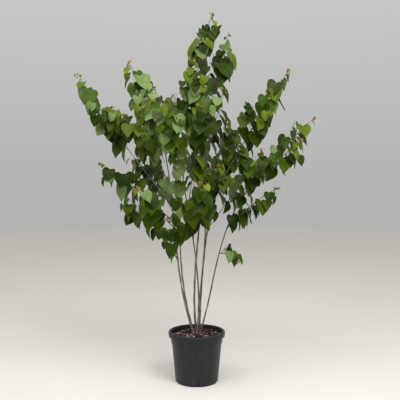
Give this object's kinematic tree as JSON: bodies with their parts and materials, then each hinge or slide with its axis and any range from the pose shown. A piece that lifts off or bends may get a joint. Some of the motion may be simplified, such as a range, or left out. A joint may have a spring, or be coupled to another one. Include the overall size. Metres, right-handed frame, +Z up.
{
  "type": "potted multi-stem redbud tree",
  "caption": "Young multi-stem redbud tree with heart-shaped hanging leaves on slender upright stems, standing in a tapered black nursery pot with a rolled rim, filled with bark mulch.",
  "frame": {"origin": "centre of the pot's flat underside, where the plant stands on the ground", "axes": "+Z up along the tree's height; -Y faces the viewer; +X to the viewer's right"},
  "size_m": [1.7285, 1.3876, 2.6322],
  "materials": {
    "pot": "moulded black polypropylene, satin",
    "soil": "moist reddish-brown bark mulch over potting compost",
    "bark": "thin smooth grey-brown bark with pale flecks",
    "foliage": "thin matt green leaves, yellow-green and bronze at the shoot tips"
  },
  "bodies": {
    "root": {"pot": "pot", "soil": "soil", "stem_north": "bark", "stem_northeast": "bark", "stem_east": "bark", "stem_south": "bark", "stem_west": "bark", "stem_northwest": "bark", "stem_leader": "bark", "foliage_leader_crown": "foliage", "bough_leader_east": "bark", "foliage_leader_east": "foliage", "bough_leader_west": "bark", "foliage_leader_west": "foliage", "bough_leader_south": "bark", "foliage_leader_south": "foliage", "foliage_west_crown": "foliage", "bough_west_high": "bark", "foliage_west_high": "foliage", "bough_west_mid": "bark", "foliage_west_mid": "foliage", "bough_west_low": "bark", "foliage_west_low": "foliage", "bough_west_droop": "bark", "foliage_west_droop": "foliage", "foliage_west_spur": "foliage", "bough_southwest": "bark", "foliage_southwest": "foliage", "foliage_northwest_crown": "foliage", "bough_northwest_mid": "bark", "foliage_northwest_mid": "foliage", "bough_northwest_low": "bark", "foliage_northwest_low": "foliage", "foliage_south_crown": "foliage", "bough_south_high": "bark", "foliage_south_high": "foliage", "bough_south_low": "bark", "foliage_south_low": "foliage", "foliage_south_west": "foliage", "foliage_northeast_crown": "foliage", "bough_northeast_high": "bark", "foliage_northeast_high": "foliage", "bough_northeast_low": "bark", "foliage_northeast_low": "foliage", "bough_southeast": "bark", "foliage_southeast": "foliage", "foliage_east_crown": "foliage", "bough_east_side": "bark", "foliage_east_side": "foliage", "bough_east_mid": "bark", "foliage_east_mid": "foliage", "foliage_east_low": "foliage", "foliage_east_spur": "foliage", "foliage_north_crown": "foliage", "bough_north_east": "bark", "foliage_north_east": "foliage", "bough_north_west": "bark", "foliage_north_west": "foliage"}
  },
  "joints": []
}
